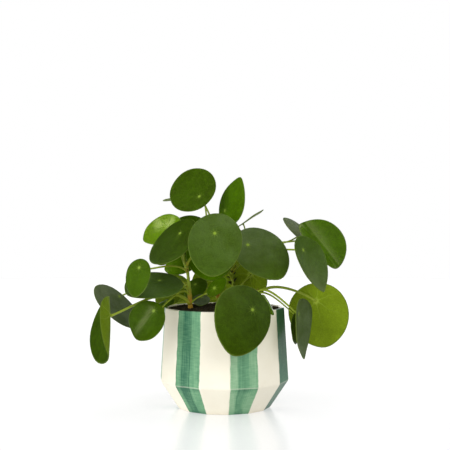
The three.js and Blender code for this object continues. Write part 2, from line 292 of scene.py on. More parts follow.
def makeVeins():
    # veins, hub and rim of a blade, from the blade's own map; the rim band carries a painted highlight
    group, inside, outside = newGroup("veins", {"Count": 9.0, "Width": 0.4, "HubSize": 1.0},
                                      ["Lines", "Hub", "Rim"])
    flat = addNode(group, "ShaderNodeUVMap", uv_map="bladeMap").outputs["UV"]
    parts = addNode(group, "ShaderNodeSeparateXYZ", {"Vector": flat})
    x, y = [times(group, calc(group, "SUBTRACT", parts.outputs[axis], 0.5), mapSpan)
            for axis in ("X", "Y")]
    squares = plus(group, times(group, x, x), times(group, y, y))
    away = calc(group, "SQRT", squares)
    wander = addNode(group, "ShaderNodeTexNoise", {"Vector": flat, "Scale": veinLook["strayScale"],
                                                   "Detail": 1.0})
    strayed = times(group, calc(group, "SUBTRACT", wander.outputs["Fac"], 0.5), veinLook["stray"])
    angle = plus(group, calc(group, "ARCTAN2", y, x), strayed)
    turns = times(group, angle, calc(group, "DIVIDE", inside.outputs["Count"], 2 * math.pi))
    turns = plus(group, turns, 20.0)  # twenty veins on, so that it is never below 0
    spacing = calc(group, "DIVIDE", times(group, away, 2 * math.pi), inside.outputs["Count"])

    def veinLines(perVein, width):
        # 1 in the middle of each vein, 0 past its width
        near = calc(group, "PINGPONG", times(group, turns, perVein), 0.5)
        gap = times(group, near, calc(group, "DIVIDE", spacing, perVein))
        return calc(group, "SUBTRACT", 1.0, calc(group, "DIVIDE", gap, width, clamp=True), clamp=True)

    main = veinLines(1.0, inside.outputs["Width"])
    side = veinLines(veinLook["sideVeins"], times(group, inside.outputs["Width"], veinLook["sideWidth"]))
    side = times(group, side, ramp(group, away, 0.0, veinLook["sideStrength"], *veinLook["sideFrom"]))
    fade = ramp(group, away, 1.0, veinLook["faded"], *veinLook["fade"])
    lines = times(group, calc(group, "MAXIMUM", main, side), fade)
    rays = times(group, main, ramp(group, away, veinLook["rayStrength"], 0.0, *veinLook["rays"]))
    fromHub = calc(group, "DIVIDE", away, inside.outputs["HubSize"])
    hub = calc(group, "MAXIMUM", ramp(group, fromHub, 1.0, 0.0, *veinLook["hub"]), rays)
    rim = ramp(group, attribute(group, "rimShare"), 0.0, 1.0, *veinLook["rim"])
    group.links.new(lines, outside.inputs["Lines"])
    group.links.new(hub, outside.inputs["Hub"])
    group.links.new(rim, outside.inputs["Rim"])
    return group


mottle = makeMottle()
veins = makeVeins()


pot = dict(
    sides=14, turn=5, height=115, wall=4, floor=7, gap=0.3,
    baseRadius=53.5, bellyRadius=75, bellyHeight=32, rimRadius=70,
    edgeRound=1.5, lipRound=1.3,
    cream=(0.785, 0.745, 0.63), creamShade=(0.70, 0.64, 0.50), footShade=0.5,
    greenDark=(0.037, 0.130, 0.076), greenMid=(0.134, 0.30, 0.167), greenLight=(0.285, 0.455, 0.28),
    # three brush strokes on a painted facet: where they meet, and their tones (1 = light)
    strokes={
        12: ((0.22, 0.60), (0.45, 0.12, 0.47)), 0: ((0.27, 0.66), (0.87, 0.42, 0.68)),
        # facet 2, on the right, has the darkest tone in all three strokes
        2: ((0.30, 0.70), (0.0, 0.0, 0.0)),
    },
    # the facets that aren't listed draw theirs from these
    strokeEdges=[(0.18, 0.34), (0.55, 0.75)],
    strokeTones=[(0.5, 0.1, 0.8), (0.85, 0.25, 0.5), (0.3, 0.8, 0.15), (0.7, 0.15, 0.6)],
    strokeBlend=0.08,
    # uneven painting: how often it changes across a facet and up a map unit, amount and detail
    border=(3.0, 7.0, 0.10, 3.0), strokeBorder=(5.0, 4.0, 0.10, 2.0), bellyBorder=(9.0, 1.0, 0.8, 2.0),
    brushed=[(30.0, 1.2, 0.75, 2.0), (4.0, 60.0, 0.50, 2.0), (5.0, 5.0, 0.45, 2.0)],
    borderEdge=(0.47, 0.50),  # from the facet's middle, where paint starts to end and has ended
    roughness=(0.24, 0.34),  # of cream and of green
    # thin glaze over the belly's edge, and deeper glaze below the edge and at the foot, in millimetres
    thin=(0.3, 1.1), thinShare=0.22, pooled=(-7.0, -1.0), foot=(0.5, 6.0), deepShare=0.25,
)


def potRadius(height):
    # outer radius to the corners at a height
    if height < pot["bellyHeight"]:
        return mixed(pot["baseRadius"], pot["bellyRadius"], height / pot["bellyHeight"])
    share = (height - pot["bellyHeight"]) / (pot["height"] - pot["bellyHeight"])
    return mixed(pot["bellyRadius"], pot["rimRadius"], share)


def innerRadius(height):
    return potRadius(height) - pot["wall"] / math.cos(math.pi / pot["sides"])


def extrudeRing(bm, ring, matrix):
    # extrudes a ring of edges, moves the new ring by the matrix and returns its edges
    made = bmesh.ops.extrude_edge_only(bm, edges=ring)["geom"]
    verts = [part for part in made if isinstance(part, bmesh.types.BMVert)]
    bmesh.ops.transform(bm, matrix=matrix, verts=verts)
    known = set(verts)
    return [part for part in made if isinstance(part, bmesh.types.BMEdge) and known.issuperset(part.verts)]


def buildPot():
    bm = bmesh.new()
    turned = Matrix.Rotation(math.radians(pot["turn"]), 4, "Z")
    bmesh.ops.create_circle(bm, cap_ends=True, segments=pot["sides"], radius=pot["baseRadius"],
                            matrix=turned)
    ring = bm.edges[:]
    top, belly, floor = pot["height"], pot["bellyHeight"], pot["floor"]
    levels = [(pot["baseRadius"], 0), (pot["bellyRadius"], belly), (pot["rimRadius"], top),
              (innerRadius(top), top), (innerRadius(belly), belly), (innerRadius(floor), floor)]
    for (before, low), (after, high) in zip(levels, levels[1:]):
        grow = Matrix.Diagonal((after / before, after / before, 1, 1))
        ring = extrudeRing(bm, ring, Matrix.Translation((0, 0, high - low)) @ grow)
    bmesh.ops.edgeloop_fill(bm, edges=ring)
    bmesh.ops.recalc_face_normals(bm, faces=bm.faces)

    def onLip(edge):
        # the edges that run round the mouth, which are rounded last
        return all(v.co.z > top - 0.01 for v in edge.verts) and edge.calc_length() > 2 * pot["wall"]

    rest = [edge for edge in bm.edges if not onLip(edge)]
    settings = dict(affect="EDGES", profile=0.5, material=-1, clamp_overlap=True)
    bmesh.ops.bevel(bm, geom=rest, offset=pot["edgeRound"], segments=3, **settings)
    lip = [edge for edge in bm.edges if onLip(edge)]
    bmesh.ops.bevel(bm, geom=lip, offset=pot["lipRound"], segments=3, **settings)

    # each facet is one unit wide on the map, counted from the corner nearest the front
    uv = bm.loops.layers.uv.new("facetMap")
    edges = bm.faces.layers.float_vector.new("strokeEdges")
    tones = bm.faces.layers.float_vector.new("strokeTones")
    draw = random.Random(7)
    strokes = {}
    for facet in range(0, pot["sides"], 2):
        drawn = ([draw.uniform(*limits) for limits in pot["strokeEdges"]], draw.choice(pot["strokeTones"]))
        strokes[facet] = pot["strokes"].get(facet, drawn)
    step = 2 * math.pi / pot["sides"]
    for face in bm.faces:
        centre = face.calc_center_median()
        middle = (math.atan2(centre.x, -centre.y) - math.radians(pot["turn"])) % (2 * math.pi)
        painted = facet = int(middle / step)
        if facet % 2:
            # a cream facet: its borders belong to the strokes of the nearer green one
            painted = (facet + (1 if middle / step % 1 > 0.5 else -1)) % pot["sides"]
        face[edges], face[tones] = (*strokes[painted][0], 0), strokes[painted][1]
        for loop in face.loops:
            spot = loop.vert.co
            turn = (math.atan2(spot.x, -spot.y) - math.radians(pot["turn"])) % (2 * math.pi)
            if spot.xy.length < 1:
                turn = middle
            turn += round((middle - turn) / (2 * math.pi)) * 2 * math.pi
            loop[uv].uv = (turn / step, spot.z / mapSpan)
        midWall = potRadius(centre.z) * math.cos(step / 2) - 0.5 * pot["wall"]
        inside = centre.xy.length < midWall and centre.z > 0.5 * floor
        face.material_index = 1 if inside else 0
    piece = finishPiece("potGlazed", bm, [paintedGlaze(), plainGlaze()], ["pot"])
    weighted = piece.modifiers.new("facets", "WEIGHTED_NORMAL")
    weighted.keep_sharp = False


def glazeSurface(tree, shader):
    # slow waves of the hand-thrown wall and the pinholes of its glaze
    waves = useGroup(tree, mottle, Size=22.0, Amount=1.0, Detail=1.0).outputs["Factor"]
    grain = useGroup(tree, mottle, Size=1.4, Amount=0.12, Detail=2.0).outputs["Factor"]
    bump(tree, shader, plus(tree, waves, grain), strength=0.35, depth=1.2)


def plainGlaze():
    material, tree, shader = newMaterial("creamGlaze", Roughness=0.28, Coat_Weight=0.5, Coat_Roughness=0.06)
    cloud = useGroup(tree, mottle, Size=12.0, Amount=0.8, Detail=3.0).outputs["Factor"]
    blotch = plus(tree, cloud, 0.3)
    tree.links.new(mixColour(tree, blotch, pot["cream"], pot["creamShade"]), shader.inputs["Base Color"])
    glazeSurface(tree, shader)
    return material


def paintedGlaze():
    material, tree, shader = newMaterial(
        "stripedGlaze", Coat_Weight=0.09, Coat_Roughness=0.05, Specular_IOR_Level=0.10)

    def split(vector):
        return addNode(tree, "ShaderNodeSeparateXYZ", {"Vector": vector}).outputs

    spot = split(addNode(tree, "ShaderNodeUVMap", uv_map="facetMap").outputs["UV"])
    across, up = spot["X"], spot["Y"]

    def streaks(sizeAcross, sizeUp, amount, detail):
        place = addNode(tree, "ShaderNodeCombineXYZ", {"X": times(tree, across, sizeAcross),
                                                       "Y": times(tree, up, sizeUp)})
        cloud = addNode(tree, "ShaderNodeTexNoise", {"Vector": place.outputs["Vector"], "Scale": 1.0,
                                                     "Detail": detail})
        return times(tree, calc(tree, "SUBTRACT", cloud.outputs["Fac"], 0.5), amount)

    # every second facet is painted, with a border that wanders a little over the corner
    border = plus(tree, across, streaks(*pot["border"]))
    fromMiddle = calc(tree, "PINGPONG", calc(tree, "SUBTRACT", border, 0.5), 1.0)
    paint = ramp(tree, fromMiddle, 1.0, 0.0, *pot["borderEdge"])

    # three brush strokes side by side on each painted facet
    edge = split(attribute(tree, "strokeEdges", "Vector"))
    tone = split(attribute(tree, "strokeTones", "Vector"))
    x = plus(tree, calc(tree, "FRACT", across), streaks(*pot["strokeBorder"]))
    blend = pot["strokeBlend"]
    light = tone["X"]
    for before, after in ("XY", "YZ"):
        past = plus(tree, calc(tree, "SUBTRACT", x, edge[before]), blend / 2)
        change = calc(tree, "SUBTRACT", tone[after], tone[before])
        light = plus(tree, light, times(tree, calc(tree, "DIVIDE", past, blend, clamp=True), change))
    for brushed in pot["brushed"]:
        light = plus(tree, light, streaks(*brushed))

    # the glaze runs thin over the belly's edge, and gathers just below it and at the foot
    height = times(tree, up, mapSpan)
    fromBelly = calc(tree, "SUBTRACT", height, pot["bellyHeight"])
    uneven = calc(tree, "ABSOLUTE", plus(tree, fromBelly, streaks(*pot["bellyBorder"])))
    thin = times(tree, ramp(tree, uneven, 1.0, 0.0, *pot["thin"]), pot["thinShare"])
    pooled = times(tree, ramp(tree, fromBelly, 0.0, 1.0, *pot["pooled"]),
                   ramp(tree, fromBelly, 1.0, 0.0, pot["pooled"][1], 0.0))
    foot = ramp(tree, height, 1.0, 0.0, *pot["foot"])
    deep = times(tree, plus(tree, pooled, foot), pot["deepShare"])
    light = calc(tree, "SUBTRACT", light, deep, clamp=True)

    # dark to middle green for the lower half of the tones, then up to light green
    low = times(tree, light, 2.0, clamp=True)
    high = times(tree, calc(tree, "SUBTRACT", light, 0.5), 2.0, clamp=True)
    green = mixColour(tree, low, pot["greenDark"], pot["greenMid"])
    green = mixColour(tree, high, green, pot["greenLight"])
    green = mixColour(tree, thin, green, pot["cream"])

    cloud = useGroup(tree, mottle, Size=14.0, Amount=0.6, Detail=3.0).outputs["Factor"]
    blotch = plus(tree, cloud, 0.12, clamp=True)
    shaded = plus(tree, blotch, times(tree, foot, pot["footShade"]), clamp=True)
    cream = mixColour(tree, shaded, pot["cream"], pot["creamShade"])
    tree.links.new(mixColour(tree, paint, cream, green), shader.inputs["Base Color"])
    tree.links.new(ramp(tree, paint, *pot["roughness"]), shader.inputs["Roughness"])
    glazeSurface(tree, shader)
    return material


buildPot()
print("pot done")


soil = dict(
    edge=113.5, crown=117, rings=26, lumps=1.4, lumpSizes=(7, 2.6), margin=2.5,
    crumbs=1300, crumbSize=(0.7, 2.4), barkShare=0.18,
    fibres=90, fibreLength=(3, 8), fibreRadii=(0.45, 0.2),
    dark=(0.013, 0.010, 0.005), brown=(0.036, 0.026, 0.011),
)


def soilHeight(x, y):
    # the mound, rough with lumps and low furrows
    share = min(1.0, math.hypot(x, y) / innerRadius(soil["edge"]))
    mound = mixed(soil["crown"], soil["edge"], share * share)
    coarse, fine = soil["lumpSizes"]
    rough = noise.noise(Vector((x, y, 3)) / coarse) + 0.5 * noise.noise(Vector((x, y, 9)) / fine)
    return mound + soil["lumps"] * (rough - 0.4) * (1 - smooth(0.9, 1.0, share) * 0.6)


def buildSoil():
    wall = innerRadius(soil["edge"]) - pot["gap"]
    belly, low = innerRadius(pot["bellyHeight"]) - pot["gap"], innerRadius(pot["floor"]) - pot["gap"]
    bottom = pot["floor"] + pot["gap"]
    profile = [(wall * i / soil["rings"], soil["edge"]) for i in range(soil["rings"] + 1)]
    profile += [(belly, pot["bellyHeight"]), (low, bottom), (0, bottom)]
    bm = spinProfile(profile, 8 * pot["sides"])  # eight steps to a facet
    step = 2 * math.pi / pot["sides"]
    for vert in bm.verts:
        # from round to the pot's own facets
        turn = (math.atan2(vert.co.x, -vert.co.y) - math.radians(pot["turn"])) % step - step / 2
        squeeze = math.cos(step / 2) / math.cos(turn)
        vert.co.x, vert.co.y = vert.co.x * squeeze, vert.co.y * squeeze
        if vert.co.z > soil["edge"] - 0.1:
            vert.co.z = soilHeight(vert.co.x, vert.co.y)

    draw = random.Random(11)
    inner = wall * math.cos(step / 2) - soil["margin"]

    def scatter(reach=1):
        away, turn = inner * math.sqrt(draw.random()) * reach, draw.uniform(0, 2 * math.pi)
        return away * math.cos(turn), away * math.sin(turn)

    def makeBark(made):
        for face in {face for vert in made["verts"] for face in vert.link_faces}:
            face.material_index = 1

    for _ in range(soil["crumbs"]):
        x, y = scatter()
        size = draw.uniform(*soil["crumbSize"]) * draw.uniform(0.5, 1.0)
        spin = Matrix.Rotation(draw.uniform(0, math.pi), 4, draw.choice("XYZ"))
        shape = Matrix.Diagonal((1, draw.uniform(0.5, 1), draw.uniform(0.4, 0.8), 1))
        place = Matrix.Translation((x, y, soilHeight(x, y) + 0.15 * size))
        crumb = bmesh.ops.create_icosphere(bm, subdivisions=1, radius=size, matrix=place @ spin @ shape)
        if draw.random() < soil["barkShare"]:
            makeBark(crumb)
    for _ in range(soil["fibres"]):
        x, y = scatter(0.96)
        place = Matrix.Translation((x, y, soilHeight(x, y) + 0.7))
        turned = Matrix.Rotation(draw.uniform(0, math.pi), 4, "Z")
        laid = Matrix.Rotation(math.radians(draw.uniform(70, 95)), 4, "X")
        thick, thin = soil["fibreRadii"]
        makeBark(bmesh.ops.create_cone(
            bm, cap_ends=True, segments=5, radius1=thick, radius2=thin,
            depth=draw.uniform(*soil["fibreLength"]), matrix=place @ turned @ laid))
    finishPiece("soilCrumbly", bm, [soilMaterial("soilDark", soil["dark"], soil["brown"]),
                                    soilMaterial("soilBark", soil["brown"], soil["dark"])],
                ["soil"])


def soilMaterial(name, colour, speck):
    material, tree, shader = newMaterial(name, Roughness=0.95)
    blotch = useGroup(tree, mottle, Size=2.2, Amount=1.6, Detail=4.0).outputs["Factor"]
    tree.links.new(mixColour(tree, plus(tree, blotch, 0.3, clamp=True), colour, speck),
                   shader.inputs["Base Color"])
    grit = useGroup(tree, mottle, Size=0.9, Amount=1.0, Detail=5.0).outputs["Factor"]
    bump(tree, shader, grit, strength=0.8, depth=0.8)
    return material


buildSoil()
print("soil done")


# `hub` is where petiole and blade meet, `share` of the blade's length from its round end and `aside` of its
# width off the midrib. `face` is the azimuth and elevation that the upper face looks to, and `turn` swings
# the tip from straight downhill. `cup` drops the rim below the middle, `fold` both sides below the midrib,
# `point` draws the tip out and `egg` narrows that end. The petiole leaves `stem` at `node` (0 = soil,
# 1 = top) at `climb` degrees and comes to the blade from `arrive`; `bow` is how long it keeps to each of
# the two, in shares of the distance, and `thick` scales its thickness. `tone` is 0 for an old dark blade,
# 1 for a young light one and 2 for the freshest. `paintedSheenAndPolish` is a grey sheen painted into its
# colour or, below
# 0, its polish, and `fade` is how fast that falls towards the tip. `soft` rounds the fold along the midrib,
# and `mark` is how light the hub is.
leafDefaults = dict(turn=0, share=0.34, aside=0, cup=1.5, fold=0, point=0.03, egg=0.05, climb=55,
                    bow=[0.4, 0.3], arrive=None, thick=1, tone=0.4, paintedSheenAndPolish=0, fade=0, soft=0.14, mark=1)
leaves = {
    # the crown
    "leaf_top": dict(stem="stem_centre", node=1, hub=[-29, 10, 243.5], face=[-30, 31], turn=-127,
        size=[66, 59], share=0.27, cup=-1, point=0, egg=0, tone=0.17),
    "leaf_top_flat": dict(stem="stem_back_left", node=1, hub=[-26, 80, 250], face=[-102, 80],
        size=[68, 50], share=0.23, cup=0.5, tone=0.3),
    "leaf_top_right": dict(stem="stem_centre", node=0.9, hub=[1, 15, 227.1], face=[-56, 11], turn=165,
        size=[59, 52], share=0.3, aside=0.16, point=0.14, egg=0.07, tone=0.6),
    "leaf_middle": dict(stem="stem_left", node=1, hub=[-10, -66, 201], face=[-1, 24], turn=-5,
        size=[75, 59], aside=-0.02, cup=1.9, egg=0.09, tone=0.32, paintedSheenAndPolish=0.24, fade=0.6),
    "leaf_left": dict(stem="stem_left", node=0.9, hub=[-49.8, -30, 200.7], face=[-45, 39], turn=-36,
        size=[68, 64], share=0.33, aside=-0.05, tone=0.05, paintedSheenAndPolish=0.012, fade=-10),
    "leaf_left_back": dict(stem="stem_left", node=0.8, hub=[-64, 8, 208], face=[-32, 45], turn=-39,
        size=[50, 53], share=0.33, cup=-3, point=0.07, egg=0.09, tone=1.3, paintedSheenAndPolish=-1.0),
    "leaf_behind": dict(stem="stem_back_left", node=0.9, hub=[-42.4, 18, 207.2], face=[-10, 35],
        size=[57, 53], tone=0.3),
    "leaf_right": dict(stem="stem_centre", node=0.7, hub=[27.2, -24, 187.6], face=[8, 39], turn=27,
        size=[79, 61], share=0.3, aside=-0.13, point=0.06, egg=0.07, tone=0.25, paintedSheenAndPolish=0.42, fade=1.2),
    "leaf_bud": dict(stem="stem_centre", node=0.92, hub=[22, 20, 212], face=[-95, 56], turn=180,
        size=[42, 30], share=0.3, cup=0, tone=0.4),
    "leaf_low_middle": dict(stem="stem_centre", node=0.5, hub=[-15, -8, 187], face=[0, 20],
        size=[64, 58], tone=0.85),
    # far right, and lower right
    "leaf_far_right": dict(stem="stem_centre", node=0.8, hub=[108.1, 60, 199.2], face=[26, 32],
        turn=24, size=[71.8, 58], share=0.265, aside=0.03, cup=1, fold=-16.8, point=0, egg=0,
        tone=0.6, paintedSheenAndPolish=-1.0, soft=0.3, mark=0.15),
    "leaf_far_right_edge": dict(stem="stem_centre", node=0.75, hub=[98.8, 100, 200.9], face=[64, 46],
        turn=20, size=[80, 56], share=0.38, tone=0.6, paintedSheenAndPolish=1.0),
    "leaf_far_right_low": dict(stem="stem_centre", node=0.65, hub=[88.3, -44, 182.1], face=[50, 27],
        turn=-9, size=[70, 53], share=0.27, aside=-0.11, cup=-5.4, point=0.11, egg=0.2, bow=[0.4, 0.5],
        arrive=[-165, 0], tone=0.40, paintedSheenAndPolish=0.24, fade=-1.5),
    "leaf_under": dict(stem="stem_right", node=0.6, hub=[106, -10, 122.6], face=[158, 1], turn=-12,
        size=[75, 72], share=0.29, cup=1.1, point=0.04, climb=66, bow=[0.45, 0.32], arrive=[-65, 30],
        thick=1.3, tone=0.9),
    "leaf_hanging_right": dict(stem="stem_right", node=0.9, hub=[82.9, -50, 111.6], face=[68, 2],
        turn=3, size=[68, 56], share=0.28, aside=-0.08, cup=-2.2, fold=-3, point=0.16, egg=0.36,
        arrive=[-95, 35], tone=0.15, paintedSheenAndPolish=0.65),
    "leaf_hanging_small": dict(stem="stem_right", node=0.8, hub=[81, -38, 109.2], face=[71, 1],
        size=[35, 38], share=0.07, aside=0.05, cup=1, arrive=[-95, 35], tone=0.5, paintedSheenAndPolish=0.2),
    # in front of the pot
    "leaf_front": dict(stem="stem_right", node=0.7, hub=[30.6, -86, 119.5], face=[22, 17], turn=-23,
        size=[79, 64], share=0.32, aside=0.11, cup=5, egg=0.16, tone=0.08, paintedSheenAndPolish=0.09, fade=1.5),
    "leaf_front_small": dict(stem="stem_right", node=0.45, hub=[47, -60, 127], face=[70, 30],
        size=[26, 22], tone=0.8),
    # far left
    "leaf_left_grey": dict(stem="stem_left", node=0.5, hub=[-123, 15, 126], face=[62, 44], turn=-74,
        size=[61, 69], share=0.13, aside=-0.12, cup=-2.5, bow=[0.3, 0.4], arrive=[-175, -5],
        tone=0.3, paintedSheenAndPolish=1.0),
    "leaf_young": dict(stem="stem_left", node=0.85, hub=[-92.3, -68, 163.6], face=[-30, 20], turn=8,
        size=[44, 32], share=0.25, aside=0.03, cup=0.3, egg=0.09, climb=35, tone=0.42, paintedSheenAndPolish=-0.6),
    "leaf_left_low": dict(stem="stem_left", node=0.4, hub=[-72.3, -35, 147.8], face=[-5, 67], turn=-44,
        size=[67, 70], aside=-0.05, cup=0.4, point=0.13, egg=0, tone=0.35, paintedSheenAndPolish=0.24),
    "leaf_far_left": dict(stem="stem_left", node=0.1, hub=[-125, -62, 110.7], face=[-80, 3], turn=37,
        size=[81, 51], share=0.33, aside=0.12, cup=-2, fold=-14, thick=1.3, bow=[0.4, 0.2],
        arrive=[105, 14], tone=0.1),
    "leaf_left_cupped": dict(stem="stem_left", node=0.3, hub=[-76.7, -65, 116.3], face=[-24, 17],
        turn=-27, size=[46, 45], share=0.23, cup=0.4, fold=-4, point=0.09, egg=0.03,
        tone=0.3, paintedSheenAndPolish=-1.0, soft=0.9),
    # small ones low down, between the stems
    "leaf_small_middle": dict(stem="stem_left", node=0.1, hub=[-10.7, -45, 140], face=[-25, 25],
        turn=140, size=[27, 18], share=0.4, tone=0.45),
    "leaf_shaded_left": dict(stem="stem_back_left", node=0.6, hub=[-43, 2, 170], face=[-30, 45],
        turn=-60, size=[44, 40], tone=1.1),
    "leaf_ribbed": dict(stem="stem_centre", node=0.2, hub=[31, 6, 152], face=[165, 20], size=[42, 40],
        tone=1.2),
    "leaf_behind_low": dict(stem="stem_back_left", node=0.3, hub=[-34, 20, 140], face=[-30, 45],
        turn=20, size=[34, 30], tone=0.3),
    "leaf_rim_left": dict(stem="stem_left", node=0.05, hub=[-66, 0, 122], face=[-40, 68],
        size=[24, 20], tone=0.4),
    "leaf_small_grey": dict(stem="stem_centre", node=0.05, hub=[-26, -8, 127], face=[0, 62],
        size=[24, 20], climb=40, tone=0.1, paintedSheenAndPolish=0.9),
    # the back
    "leaf_back_1": dict(stem="stem_back_left", node=0.9, hub=[-66, 54, 192], face=[-140, 30],
        size=[54, 48]),
    "leaf_back_2": dict(stem="stem_back_left", node=0.8, hub=[-22, 86, 186], face=[-165, 25],
        size=[60, 54]),
    "leaf_back_3": dict(stem="stem_back", node=1, hub=[3, 90, 194], face=[175, 32], size=[62, 54]),
    "leaf_back_4": dict(stem="stem_back", node=0.8, hub=[48, 86, 172], face=[150, 35], size=[56, 50]),
    "leaf_back_5": dict(stem="stem_back_left", node=0.5, hub=[-64, 84, 132], face=[-150, 20],
        size=[54, 48]),
    "leaf_back_6": dict(stem="stem_back_left", node=0.3, hub=[-14, 112, 142], face=[-175, 15],
        size=[62, 56]),
    "leaf_back_7": dict(stem="stem_back", node=0.5, hub=[22, 92, 150], face=[165, 20], size=[54, 50]),
    "leaf_back_8": dict(stem="stem_back", node=0.7, hub=[56, 46, 174], face=[100, 30], size=[38, 34]),
    "leaf_back_9": dict(stem="stem_back_left", node=0.1, hub=[-38, 94, 108], face=[-160, 10],
        size=[58, 52], arrive=[20, 30]),
    "leaf_back_10": dict(stem="stem_back", node=0.2, hub=[26, 98, 102], face=[170, 8], size=[56, 52],
        arrive=[-10, 30]),
}

blade = dict(thickness=0.9, sectors=44, pointSharpness=12, wave=0.45, ribs=9, ribHeight=0.12)
petiole = dict(
    rootRadius=1.4, endRadius=0.95, sides=10, steps=26,
    nodes=[0.36, 0.985],  # where the lowest and the highest leave the stem, in shares of its length
    fullBlade=55,  # the petioles of blades shorter than this are slimmer
    foot=0.45, footTo=0.10, flare=0.5, flareFrom=0.955,  # how much thicker at the root and under the blade
    woody=0.42, woodyTo=0.16, fresh=0.25, freshFrom=0.75,  # how brown at the root and how fresh at the end
)

# Each stem is rooted at `root` and rises through `rise`; `radius` is at root and top.
stemDepth = 27  # below the soil's edge
stems = {
    "stem_left": dict(root=[-38, -25], rise=[[-39, -25, 133], [-42, -25, 166]], radius=[3.6, 1.4]),
    "stem_centre": dict(root=[12, 6], rise=[[11, 6, 138], [8, 8, 175]], radius=[3.7, 1.6]),
    "stem_right": dict(root=[30, -28], rise=[[32, -29, 123], [36, -30, 135]], radius=[3.0, 1.8]),
    "stem_back": dict(root=[22, 38], rise=[[24, 42, 133], [26, 48, 158]], radius=[3.3, 1.6]),
    "stem_back_left": dict(root=[-6, 34], rise=[[-8, 37, 133], [-12, 42, 160]], radius=[3.3, 1.6]),
}


def evenSteps(points, count):
    # the same path with its points at equal distances
    lengths = [0.0]
    for a, b in zip(points, points[1:]):
        lengths.append(lengths[-1] + (b - a).length)
    result, i = [], 0
    for step in range(count + 1):
        target = lengths[-1] * step / count
        while i < len(points) - 2 and lengths[i + 1] < target:
            i += 1
        span = lengths[i + 1] - lengths[i] or 1.0
        result.append(points[i].lerp(points[i + 1], min(1.0, (target - lengths[i]) / span)))
    return result


def pointOn(path, share, count=200):
    # the point at this share of a path's length
    return evenSteps(path, count)[round(count * share)]


def stemPath(stem, count=20):
    # a smooth path through the stem's points
    x, y = stem["root"]
    knots = [Vector(p) for p in [[x, y, soil["edge"] - stemDepth], [x, y, soil["edge"]], *stem["rise"]]]
    knots = [2 * knots[0] - knots[1], *knots, 2 * knots[-1] - knots[-2]]
    path = []
    for a, b, c, d in zip(knots, knots[1:], knots[2:], knots[3:]):
        for i in range(count):
            t = i / count
            path.append(0.5 * (2 * b + (c - a) * t + (2 * a - 5 * b + 4 * c - d) * t ** 2
                               + (3 * b - a - 3 * c + d) * t ** 3))
    return path + [knots[-2]]


def bladeForm(leaf, x, y):
    # height of the blade's upper face over its own frame, zero at the hub
    length, width = leaf["size"]

    def crease(share):
        # 1 at the rim and rounded along the midrib
        soft = leaf["soft"]
        return (math.hypot(share, soft) - soft) / (math.hypot(1, soft) - soft)

    def form(x, y):
        along = (x - length * (0.5 - leaf["share"])) / (length / 2)
        across = (y + width * leaf["aside"]) / (width / 2)
        return -leaf["cup"] * (along ** 2 + across ** 2) - leaf["fold"] * crease(y / (width / 2))

    return form(x, y) - form(0, 0)


def petiolePath(leaf, count=80):
    # a curve that leaves the stem at `climb`, and ends inside the blade
    up = heading(*leaf["face"])
    start = pointOn(stemPath(stems[leaf["stem"]]), mixed(*petiole["nodes"], leaf["node"]))
    end = Vector(leaf["hub"]) - up * blade["thickness"] * 0.8
    comes = heading(*leaf["arrive"]) if leaf["arrive"] else -up
    reach = (end - start).length
    level = (end - start) * Vector((1, 1, 0))
    level.normalize()
    climb = math.radians(leaf["climb"])
    goes = level * math.cos(climb) + Vector((0, 0, math.sin(climb)))
    a, b = start + goes * leaf["bow"][0] * reach, end + comes * leaf["bow"][1] * reach
    path = []
    for i in range(count + 1):
        t = i / count
        path.append(start * (1 - t) ** 3 + a * 3 * t * (1 - t) ** 2 + b * 3 * t * t * (1 - t) + end * t ** 3)
    return evenSteps(path, petiole["steps"])


stemLook = dict(
    steps=60, sides=14, knotSpacing=6.5, knots=0.12, rough=0.10, roughSize=2.3,
    barkTo=(9, 26),  # bark turns green between these heights over the soil's edge
    # scales: a pair by each petiole's foot, closed ones at the tip, black ones on the upper stem as painted
    # shade
    stipuleTurns=(-50, 55), stipuleSize=(2.6, 4.6), lowStipules=(118, 0.7),  # smaller below this height
    tipScales=5, tipSize=(3.5, 6), shadeScales=dict(stem_centre=34, stem_back=14), shadeScaleSize=(5, 10),
    petiole=(0.27, 0.35, 0.025), petioleShade=(0.14, 0.19, 0.006), bark=(0.40, 0.235, 0.016),
    barkDark=(0.20, 0.110, 0.008), stipule=(0.22, 0.18, 0.030), scaleShade=(0.020, 0.024, 0.006),
    # where each finish starts and is complete, by the attribute woody: 0 on green and 1 on bark
    woodyBark=(0.1, 0.85), woodyStipule=(1.2, 1.5), woodyShade=(2.0, 2.4),
)
# the second marks the black scales, whose colour is painted shade among the stems
stipuleTint, shadeTint = 1.6, 2.6  # values of that attribute on the scales


def sweep(bm, points, radii, sides, layer, tints):
    # a closed tube along the points: `layer` takes one tint for each of them
    side, last, ring = Vector((0, 1, 0.01)), None, None
    for i, point in enumerate(points):
        along = (points[min(i + 1, len(points) - 1)] - points[max(i - 1, 0)]).normalized()
        side = (side - along * side.dot(along)).normalized()
        across = along.cross(side)
        turned = Matrix((side, across, along)).transposed().to_4x4()
        now = Matrix.Translation(point) @ turned @ Matrix.Diagonal((radii[i], radii[i], radii[i], 1))
        if last is None:
            verts = bmesh.ops.create_circle(bm, cap_ends=True, segments=sides, radius=1, matrix=now)["verts"]
            ring = [edge for vert in verts for edge in vert.link_edges if edge.verts[0] == vert]
        else:
            ring = extrudeRing(bm, ring, now @ last.inverted())
            verts = {vert for edge in ring for vert in edge.verts}
        for vert in verts:
            vert[layer] = tints[i]
        last = now
    bmesh.ops.edgeloop_fill(bm, edges=ring)


def addStipule(bm, layer, place, direction, size, tint=stipuleTint):
    # a pointed scale, such as the pair beside a petiole's foot
    aim = direction.to_track_quat("Z", "X").to_matrix().to_4x4()
    shape = Matrix.Diagonal((1, 0.35, 1, 1))
    middle = Matrix.Translation(place + direction * size * 0.45)
    made = bmesh.ops.create_cone(bm, cap_ends=True, segments=6, radius1=size * 0.28, radius2=0.05,
                                 depth=size, matrix=middle @ aim @ shape)
    for vert in made["verts"]:
        vert[layer] = tint


